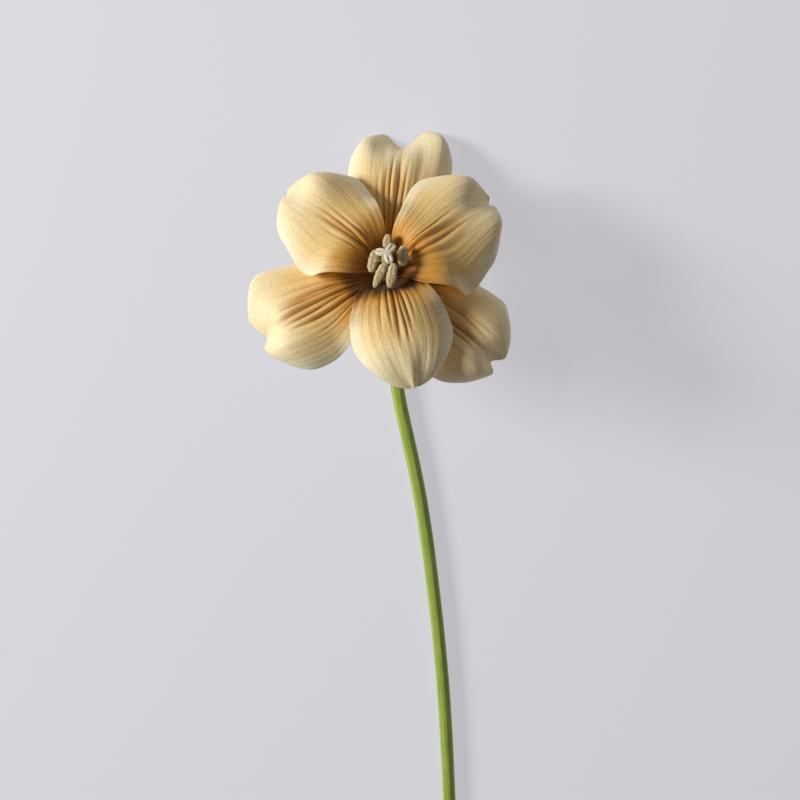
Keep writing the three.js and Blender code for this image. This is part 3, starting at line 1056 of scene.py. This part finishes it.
@dataclass
class Perianth:
    """The six tepals in their two whorls."""
    outers: tuple[Tepal, ...] = (
        outer(
            "outer_tepal_top", 84, length=63.5, half_width=22.6, curl=138.0, blunt=3.0, snub=0.93, swells=(
                Swell(0.88, 0.24, -0.75, 0.42, 11.15, -3.4), Swell(0.88, 0.24, 0.75, 0.42, 7.1, 2.4),
                Swell(1.0, 0.18, -0.05, 0.35, -1.5)),
            pleats=fan(0.04, 0.13, (0.4, 0.9, 1.2, 1.2, 0.8, 0.5), 0.034, 0.12, 0.86),
            dints=(Dint(-1.2, 0.86, 0.10, 0.40, 0.20), Dint(0.9, 0.74, 0.12, 0.62, 0.22),
                   Dint(-0.8, 0.80, 0.16, -0.42, 0.14), Dint(0.8, 0.66, 0.2, -0.2, 0.12)), seed=3),
        outer("outer_tepal_left", 206, dusk=0.8, length=59.5, snub=0.95, swells=(
            Swell(0.78, 0.26, -0.75, 0.40, 3.5, -7), Swell(0.80, 0.20, 0.50, 0.34, 2.5),
            Swell(1.0, 0.20, 0.05, 0.34, -2.5)),
            pleats=fan(0.0, 0.11, (0.3, 0.6, 1.0, 1.2, 1.3, 1.1, 0.9, 0.6, 0.4), 0.034, 0.12, 0.88),
            dints=(Dint(-2.2, 0.76, 0.20, -0.50, 0.26), Dint(1.3, 0.66, 0.26, 0.42, 0.26),
                   Dint(-1.0, 0.92, 0.12, 0.0, 0.2)), seed=5),
        outer("outer_tepal_right", 321.5, dusk=1.0, rise=70.0, length=59.5, snub=0.95, lean=0.07, swells=(
            Swell(0.80, 0.20, 0.50, 0.34, 3.5), Swell(0.80, 0.20, -0.45, 0.30, 3.5),
            Swell(1.0, 0.20, 0.0, 0.30, -3)),
            pleats=fan(0.0, 0.15, (0.5, 0.9, 1.1, 0.7, 0.4), 0.04, 0.12, 0.9),
            dints=(Dint(-1.8, 0.60, 0.30, 0.02, 0.16), Dint(1.2, 0.62, 0.25, -0.42, 0.22),
                   Dint(-1.0, 0.80, 0.15, 0.55, 0.2)), seed=8))
    inners: tuple[Tepal, ...] = (
        inner(
            "inner_tepal_left", 141, length=64.0, half_width=25.5, blunt=2.2, foot_lean=0.12, lean=-0.17,
            swells=(Swell(0.80, 0.20, 0.50, 0.34, 1.5), Swell(0.80, 0.20, -0.50, 0.34, 5.5)),
            pleats=fan(0.02, 0.10, (0.4, 1.3, 1.2, 0.5), 0.034, 0.14, 0.72),
            dints=(Dint(-2.0, 0.90, 0.10, -0.22, 0.30), Dint(1.9, 0.70, 0.11, -0.34, 0.24),
                   Dint(0.9, 0.88, 0.10, 0.45, 0.22)), seed=11),
        inner(
            "inner_tepal_right", 35.5, length=61.5, half_width=28.5, power=1.6, foot_lean=-0.3, lean=0.05,
            swells=(Swell(0.80, 0.20, 0.50, 0.34, 7), Swell(0.80, 0.20, -0.50, 0.34, 5),
                    Swell(0.60, 0.30, 0.95, 0.40, 0, 0, 1.6)),
            pleats=fan(-0.12, 0.11, (0.5, 1.0, 1.1, 0.7), 0.034, 0.14, 0.78),
            dints=(Dint(1.3, 0.66, 0.16, 0.30, 0.28), Dint(-1.2, 0.84, 0.12, 0.05, 0.22),
                   Dint(1.0, 0.80, 0.14, -0.55, 0.22)), seed=14),
        inner("inner_tepal_front", 282.5, rise=38.0, dusk=1.0, length=58.5, half_width=22.8, blunt=1.5,
              power=1.05, foot_lean=-0.04,
              pleats=fan(0.0, 0.12, (0.4, 0.9, 1.2, 1.1, 0.8, 0.4), 0.036, 0.16, 0.74),
              dints=(Dint(0.9, 0.96, 0.14, 0.0, 0.12), Dint(-0.8, 0.82, 0.12, -0.30, 0.18),
                     Dint(-0.8, 0.82, 0.12, 0.30, 0.18)), seed=17))

    def build(self, groups: Groups) -> None:
        """Builds and dresses both whorls.

        Args:
            groups: the shared shader groups.
        """
        outer_skin = PetalFinish("outer_petal_skin", seed=2.0).build(groups)
        inner_skin = PetalFinish("inner_petal_skin", seed=11.0).build(groups)
        for tepal in self.outers:
            tepal.build(outer_skin, "outer_tepals")
        for tepal in self.inners:
            tepal.build(inner_skin, "inner_tepals")


# ---- stem --------------------------------------------------------------------------------------------
@dataclass
class Stem:
    """The stem with the receptacle at its top, lying along the floor after its bend."""
    radius: float = 3.1
    sides: int = 56
    rows: int = 620
    rib_mm: float = 0.05
    path: tuple[tuple[float, float, float], ...] = (   # across and along from the base, height off the floor
        (0, -9.0, 37.4), (0.1, -20.5, 24.6), (0.6, -32.5, 13.6), (2.0, -46, 6.6), (3.6, -59, 3.75),
        (5.0, -69, 3.16), (7.6, -82, 3.13), (13.4, -110, 3.13), (17.4, -135, 3.13), (21.7, -170, 3.13),
        (25.5, -210, 3.13), (28.0, -250, 3.13), (29.8, -292, 3.13))
    receptacle: tuple[tuple[float, float], ...] = (    # height on the bloom's axis, radius
        (0.9, 2.6), (0.84, 2.95), (0.6, 3.4), (0.0, 3.9), (-0.5, 4.5), (-0.8, 4.8), (-1.6, 5.4), (-2.6, 6.3),
        (-3.2, 6.8), (-4.0, 6.7), (-5.2, 5.4), (-7.5, 4.0), (-10, 3.4))
    axis_heights: tuple[float, ...] = (0.9, -3.0, -7.0)   # the path's first points, on the bloom's axis
    slimming: float = 25.0                             # how slowly it thins below the receptacle, mm
    head: float = 12.0                                 # the receptacle's stretch, which has closer rings
    head_rows: int = 90
    cap_shares: tuple[float, ...] = (0.985, 0.9, 0.6, 0.3)   # radii of the cut end's rings
    cap_dish: float = 0.18                             # how far the cut end is dished in, mm

    def profile(self, height: Array) -> Array:
        """The radius by height on the axis: the receptacle's points joined, then falling off to the stem's.

        Args:
            height: heights on the bloom's axis, mm.

        Returns:
            The radius at each height, mm.
        """
        h, r = np.array(self.receptacle)[::-1].T
        below = self.radius + (r[0] - self.radius) * np.exp(np.minimum(height - h[0], 0) / self.slimming)
        return np.where(height > h[0], np.interp(height, h, r), below)

    def build(self, groups: Groups) -> bpy.types.Object:
        """Carries a faintly ribbed circle along the path: radius (1 + rib sin(7 a)).

        Args:
            groups: the shared shader groups.

        Returns:
            The object.
        """
        top = np.stack([place(np.array(0.0), np.array(0.0), np.array(h)) for h in self.axis_heights])
        rest = np.array([[BASE[0] + x, BASE[1] + y, z] for x, y, z in self.path])
        centre, tangent = smooth_path(np.concatenate([top, rest]), PATH_SAMPLES)
        run = np.concatenate([[0], np.cumsum(np.linalg.norm(np.diff(centre, axis=0), axis=1))])
        near = np.linspace(0, self.head, self.head_rows)
        far = np.linspace(self.head, run[-1], self.rows - self.head_rows + 1)[1:]
        at = np.concatenate([near, far])
        centre = np.stack([np.interp(at, run, centre[:, i]) for i in range(3)], -1)
        tangent = unit(np.stack([np.interp(at, run, tangent[:, i]) for i in range(3)], -1))
        a = np.linspace(0, 2 * math.pi, self.sides, endpoint=False)[None]
        radius = self.profile(self.axis_heights[0] - at)[:, None]
        plain = ease(self.head, 30, at)[:, None] * (1 - ease(run[-1] - 1.0, run[-1], at)[:, None])
        ribs = self.rib_mm * (np.sin(7 * a + 0.01 * at[:, None]) - 1) * plain
        uneven = 0.06 * (ripple(at[:, None] / 14, np.cos(a) * 2, 21, 6, 1.5) - 1) * plain
        radius = radius + ribs + uneven
        rings = tube(centre, tangent, np.array([0.0, 0.0, 1.0]), radius * np.cos(a), radius * np.sin(a))
        last, end = rings[-1], centre[-1]
        cap = [end + (last - end) * f - tangent[-1] * (self.cap_dish * (1 - f)) for f in self.cap_shares]
        rings = np.concatenate([rings, np.stack(cap)])
        on_side, on_cap = np.zeros(len(at)), np.ones(len(cap))
        along = np.concatenate([at / run[-1], on_cap])
        uv = np.stack(np.broadcast_arrays(a / (2 * math.pi), along[:, None]), -1)
        # its first 3.5 to 5.5 mm, inside the bloom's cup, carry painted shade
        layers = {"cut": np.concatenate([on_side, on_cap]),
                  "neck": np.concatenate([1 - ease(3, 14, at), 0 * on_cap]),
                  "painted_stem_top_shade": np.concatenate([1 - ease(3.5, 5.5, at), 0 * on_cap])}
        layers = {name: np.repeat(value[:, None], self.sides, axis=1) for name, value in layers.items()}
        made = Skin("look_stem", rings, Ends.FAN, uv, layers).build()
        finish_piece(made, "stem", StemFinish("stem_skin").build(groups))
        return made


# ---- stamens -----------------------------------------------------------------------------------------
@dataclass(frozen=True)
class Stamen:
    """One stamen: its foot's azimuth, its anther's radius, and its anther's two ends.

    An end is an azimuth in degrees, a radius from the bloom's axis and a height along it, mm.
    """
    place: str
    foot: float
    anther_radius: float
    start: tuple[float, float, float]
    end: tuple[float, float, float]
    seed: int
    flat: float = 0.82               # the anther's thickness over its width
    plump: float = 1.06
    furrow: float = 0.16             # these three are shares of the anther's radius
    lumps: float = 0.07
    grains: float = 0.12
    anther_rows: int = 96
    anther_sides: int = 72
    filament_rows: int = 60
    filament_sides: int = 20
    filament_radii: tuple[float, float, float] = (0.85, 0.7, 0.35)
    foot_place: tuple[float, float] = (2.85, 1.4)

    def build_anther(self, material: bpy.types.Material) -> bpy.types.Object:
        """A long body with rounded ends and four furrows, rough with pollen.

        Along it the radius is R sqrt(1 - 0.985 (2k - 1)^2), less a furrow where cos^8 or sin^8 of the turn
        peaks, with lumps and grains of pollen on it.

        Args:
            material: its finish.

        Returns:
            The object.
        """
        k = 0.5 - 0.5 * np.cos(np.linspace(0, math.pi, self.anther_rows))
        a = np.linspace(0, 2 * math.pi, self.anther_sides, endpoint=False)
        k2, a2 = np.meshgrid(k, a, indexing="ij")
        line = np.sqrt(np.clip(1 - (2 * k2 - 1) ** 2 * 0.985, 0, 1)) * (1.05 - 0.17 * k2)
        # where the furrows lie; a share of it paints shade into them
        painted_hollow_shade = np.maximum(np.cos(a2) ** 8, np.sin(a2) ** 8)
        lumps = self.lumps * ripple(k2 * 30, a2, self.seed, 14, 1.0)
        grains = self.grains * ripple(k2 * 48 + 3 * np.cos(a2), 9 * np.sin(a2), self.seed + 1, 24, 2.4)
        furrows = self.furrow * (np.cos(a2) ** 8 + np.sin(a2) ** 8)
        rough = (lumps + grains) * np.clip(line * 2, 0, 1)
        r = self.anther_radius * self.plump * line * (1 - furrows + rough)
        first, last = polar(*self.start), polar(*self.end)
        centre = first + (last - first) * k[:, None]
        tangent = np.broadcast_to(unit(last - first), centre.shape)
        level = unit(OUT + 0.03 * UP)
        rings = tube(centre, tangent, level, r * np.cos(a2), r * np.sin(a2) * self.flat)
        uv = np.stack([a2 / (2 * math.pi), k2], -1)
        # painted shade in the furrows
        made = Skin(f"look_anther_{self.place}", rings, Ends.FAN, uv, {"painted_hollow_shade": painted_hollow_shade ** 4 * 0.5}).build()
        finish_piece(made, f"anther_{self.place}", material)
        return made

    def build_filament(self, material: bpy.types.Material) -> bpy.types.Object:
        """A slender stalk on a quadratic curve from the receptacle to just short of the anther.

        Args:
            material: its finish.

        Returns:
            The object.
        """
        foot, first, last = polar(self.foot, *self.foot_place), polar(*self.start), polar(*self.end)
        along = unit(last - first)
        if abs(float(along @ OUT)) > 0.7:
            tip = first - along * 0.9
        else:
            below = unit(OUT - along * float(OUT @ along))
            tip = first + (last - first) * 0.22 - below * (self.anther_radius + 0.35)
        knee = foot + (tip - foot) * 0.5 + OUT * 0.8
        k = np.linspace(0, 1, self.filament_rows)[:, None]
        centre = (1 - k) ** 2 * foot + 2 * k * (1 - k) * knee + k ** 2 * tip
        tangent = unit(np.gradient(centre, axis=0))
        radius = np.interp(k, [0, 0.5, 1], self.filament_radii)
        a = np.linspace(0, 2 * math.pi, self.filament_sides, endpoint=False)[None]
        level = np.cross(np.array([1.0, 0.2, 0.0]), OUT)
        rings = tube(centre, tangent, level, radius * np.cos(a), radius * np.sin(a))
        uv = np.stack(np.broadcast_arrays(a / (2 * math.pi), k), -1)
        # painted shade: darker towards the foot, deep in the cup
        layers = {"painted_hollow_shade": (1 - ease(0.0, 0.4, k)) * np.ones_like(a) * 0.5}
        made = Skin(f"look_filament_{self.place}", rings, Ends.FAN, uv, layers).build()
        finish_piece(made, f"filament_{self.place}", material)
        return made


@dataclass
class Androecium:
    """The whorl of six stamens."""
    stamens: tuple[Stamen, ...] = (
        Stamen("right", 18, 2.4, (-27, 7.4, 16.6), (40, 8.9, 17.0), 31),
        Stamen("top", 78, 2.15, (90, 7.2, 10.6), (86, 10.7, 17.0), 32),
        Stamen("back", 138, 1.9, (128, 4.7, 6.2), (127, 5.3, 12.0), 33),
        Stamen("left", 198, 2.2, (218, 8.4, 14.2), (133, 6.9, 14.4), 34),
        Stamen("lower_left", 258, 1.95, (255, 3.1, 18.8), (247, 13.4, 15.0), 35),
        Stamen("lower_right", 318, 2.3, (315, 4.2, 18.6), (275, 12.6, 15.0), 36))

    def build(self, groups: Groups) -> None:
        """Builds and dresses every stamen.

        Args:
            groups: the shared shader groups.
        """
        # each third colour is painted shade for the hollows
        pollen = TissueFinish("pollen_skin", light=srgb(232, 216, 174), dark=srgb(196, 170, 116),
                              painted_hollow_shade=srgb(150, 116, 62), cells=3600.0, grain_mm=0.14, rough=0.9).build(groups)
        stalk = TissueFinish("filament_skin", light=srgb(206, 184, 112), dark=srgb(178, 146, 70),
                             painted_hollow_shade=srgb(128, 86, 28), cells=2600.0, grain_mm=0.02, rough=0.55).build(groups)
        for stamen in self.stamens:
            stamen.build_filament(stalk)
            stamen.build_anther(pollen)


# ---- pistil ------------------------------------------------------------------------------------------
@dataclass
class Pistil:
    """The three-sided ovary and the three-lobed stigma on it."""
    ovary: tuple[tuple[float, float], ...] = (
        (1.3, 1.5), (2.4, 1.75), (6, 2.05), (11, 2.2), (16, 2.0), (19.0, 1.65), (19.9, 1.5))
    stigma: tuple[tuple[float, float], ...] = (
        (20.2, 1.4), (20.9, 2.3), (21.7, 3.2), (22.5, 3.5), (23.1, 2.8), (23.3, 1.6))
    ovary_lobe: float = 0.10
    stigma_lobe: float = 0.44
    groove: float = 0.05             # the ovary's grooves and the stigma's frill, as shares of the radius
    frill: float = 0.03
    cleft_mm: float = 0.5
    turn: float = 50.0               # the azimuth of the first lobe, degrees

    def _rings(self, profile: tuple[tuple[float, float], ...], lobe: float, rows: int, sides: int
               ) -> tuple[Array, Array, Array]:
        """A lobed body on the axis: radius by height, times 1 + lobe cos(3 (a - turn)).

        Args:
            profile: heights and radii.
            lobe: how far the lobes stand out.
            rows: rings up the body.
            sides: points round it.

        Returns:
            The turn of each point, its height, and its radius.
        """
        h, r = np.array(profile).T
        run = np.concatenate([[0], np.cumsum(np.hypot(np.diff(h), np.diff(r)))])
        even = np.linspace(0, run[-1], rows)
        height, radius = np.interp(even, run, h), np.interp(even, run, r)
        a = np.linspace(0, 360, sides, endpoint=False)[None]
        full = radius[:, None] * (1 + lobe * np.cos(3 * np.radians(a - self.turn)))
        return a * np.ones((rows, 1)), height[:, None] * np.ones_like(a), full

    def build(self, groups: Groups) -> None:
        """Builds and dresses the ovary and the stigma.

        Args:
            groups: the shared shader groups.
        """
        self._build_ovary(groups)
        self._build_stigma(groups)

    def _build_ovary(self, groups: Groups) -> None:
        """The ovary: its lobed body with a groove down the middle of each side.

        Args:
            groups: the shared shader groups.
        """
        a, h, r = self._rings(self.ovary, self.ovary_lobe, 120, 60)
        r = r * (1 + 0.012 * ripple(h, np.cos(np.radians(a)) * 3, 41, 8, 1.5))
        groove = bell(0, 0.35, np.abs(np.cos(1.5 * np.radians(a - self.turn))))
        uv = np.stack([a / 360, h / 20], -1)
        rings = polar(a, r * (1 - self.groove * groove), h)
        # painted shade in the grooves, in the finish's darker third colour
        body = Skin("look_ovary", rings, Ends.FAN, uv, {"painted_hollow_shade": groove * 0.4}).build()
        skin = TissueFinish("ovary_skin", light=srgb(206, 200, 140), dark=srgb(176, 168, 98),
                            painted_hollow_shade=srgb(138, 126, 60), cells=2200.0, grain_mm=0.02, rough=0.45)
        finish_piece(body, "ovary", skin.build(groups))

    def _build_stigma(self, groups: Groups) -> None:
        """The stigma: a three-lobed head, each lobe cleft along its top, with frilled edges.

        Args:
            groups: the shared shader groups.
        """
        a, h, r = self._rings(self.stigma, self.stigma_lobe, 90, 144)
        turn = np.radians(a)
        cleft = bell(0, 0.22, np.abs(np.sin(1.5 * np.radians(a - self.turn))))
        frill = self.frill * (np.sin(turn * 21 + h * 2)
                              + ripple(np.cos(turn) * 6, np.sin(turn) * 6 + h, 43, 16, 1.8))
        r = r * (1 + frill * ease(20.4, 21.5, h))
        h = h - self.cleft_mm * cleft * ease(22.2, 23.2, h)
        uv = np.stack([a / 360, (h - 20) / 4], -1)
        # painted shade in the clefts along the lobes' tops
        layers = {"painted_hollow_shade": cleft * ease(21.8, 22.6, h) * 0.6}
        head = Skin("look_stigma", polar(a, r, h), Ends.FAN, uv, layers).build()
        skin = TissueFinish("stigma_skin", light=srgb(240, 234, 214), dark=srgb(214, 204, 168),
                            painted_hollow_shade=srgb(176, 156, 96), cells=4200.0, grain_mm=0.04, rough=0.5)
        finish_piece(head, "stigma", skin.build(groups))


# ---- surroundings ------------------------------------------------------------------------------------
@dataclass(frozen=True)
class SoftLight:
    """A square soft light facing the bloom: its way is right, up and towards the viewer."""
    name: str
    way: tuple[float, float, float]
    distance: float                  # m, as is its side
    side: float
    power: float                     # W

    def build(self, up: Array, towards: Array) -> None:
        """Hangs the light.

        Args:
            up: the view's up direction.
            towards: the direction towards the viewer.
        """
        light = bpy.data.lights.new(self.name, "AREA")
        light.shape, light.size, light.energy = "SQUARE", self.side, self.power
        made = bpy.data.objects.new(self.name, light)
        way = Vector(unit(self.way[0] * ACROSS + self.way[1] * up + self.way[2] * towards))
        made.location = Vector(BASE * MM) + way * self.distance
        made.rotation_mode = "QUATERNION"
        made.rotation_quaternion = (-way).to_track_quat("-Z", "Y")
        bpy.context.scene.collection.objects.link(made)


@dataclass
class Studio:
    """The floor, the light and the camera."""
    view_lean: float = 18.0          # the camera's axis from straight down, towards +Y
    distance: float = 1000.0
    aside: float = 5.5               # the camera's axis to the right of the bloom's base, mm
    below: float = 52.9              # and below it in the view
    lens: float = 107.0
    sensor: float = 36.0
    lights: tuple[SoftLight, ...] = (
        SoftLight("key", (-0.82, 0.12, 0.50), 1.5, 0.40, 23.5),
        SoftLight("fill", (0.75, -0.20, 0.75), 1.4, 1.2, 0.3))
    sky: Colour = (0.96, 0.97, 1.0)
    sky_strength: float = 0.14
    floor_reach: float = 3.0         # m from the middle to each side
    floor: Colour = srgb(150, 150, 155)
    floor_glow: float = 1.50

    def axes(self) -> tuple[Array, Array]:
        """The view's up and towards-the-viewer directions."""
        lean = math.radians(self.view_lean)
        return np.array([0, math.cos(lean), -math.sin(lean)]), np.array([0, math.sin(lean), math.cos(lean)])

    def build(self) -> None:
        """Places the camera, the lights and the floor."""
        up, towards = self.axes()
        scene = bpy.context.scene
        scene.view_settings.view_transform = "Standard"
        eye = (BASE + ACROSS * self.aside - up * self.below + towards * self.distance) * MM
        camera = bpy.data.objects.new("camera", bpy.data.cameras.new("camera"))
        camera.data.lens, camera.data.sensor_width = self.lens, self.sensor
        camera.data.clip_start, camera.data.clip_end = 0.05, 20.0
        turn = Matrix([ACROSS, up, towards]).transposed().to_4x4()
        camera.matrix_world = Matrix.Translation(Vector(eye)) @ turn
        scene.collection.objects.link(camera)
        scene.camera = camera
        for light in self.lights:
            light.build(up, towards)
        self._world()
        self._floor()

    def _world(self) -> None:
        """An even pale surrounding light."""
        world = bpy.data.worlds.new("studio")
        world.use_nodes = True
        background = world.node_tree.nodes["Background"]
        background.inputs["Color"].default_value = (*self.sky, 1.0)
        background.inputs["Strength"].default_value = self.sky_strength
        bpy.context.scene.world = world

    def _floor(self) -> None:
        """A plain pale floor, faintly bright in itself so that shadows stay soft."""
        mesh = bpy.data.meshes.new("floor")
        r = self.floor_reach
        mesh.from_pydata([(-r, -r, 0), (r, -r, 0), (r, r, 0), (-r, r, 0)], [], [(0, 1, 2, 3)])
        floor = bpy.data.objects.new("floor", mesh)
        bpy.context.scene.collection.objects.link(floor)
        material, n, shader = new_material("floor_paint")
        where = n.add("ShaderNodeTexCoord").outputs["Object"]
        tone = n.span(n.noise(where, 3.0, 2.0), 0.2, 0.8, 0.98, 1.0)
        shade = n.add("ShaderNodeCombineColor", Red=tone, Green=tone, Blue=tone).outputs["Color"]
        n.feed(shader.inputs["Base Color"], n.mix(1.0, self.floor, shade, "MULTIPLY"))
        set_shader(shader, Roughness=0.9, Emission_Color=(*self.floor, 1.0),
                   Emission_Strength=self.floor_glow)
        mesh.materials.append(material)


def main() -> None:
    """Builds the flower piece by piece, then its surroundings."""
    logging.basicConfig(level=logging.INFO, format="%(name)s: %(message)s")
    groups = Groups()
    Stem().build(groups)
    Perianth().build(groups)
    Androecium().build(groups)
    Pistil().build(groups)
    Studio().build()


if __name__ == "__main__":
    main()
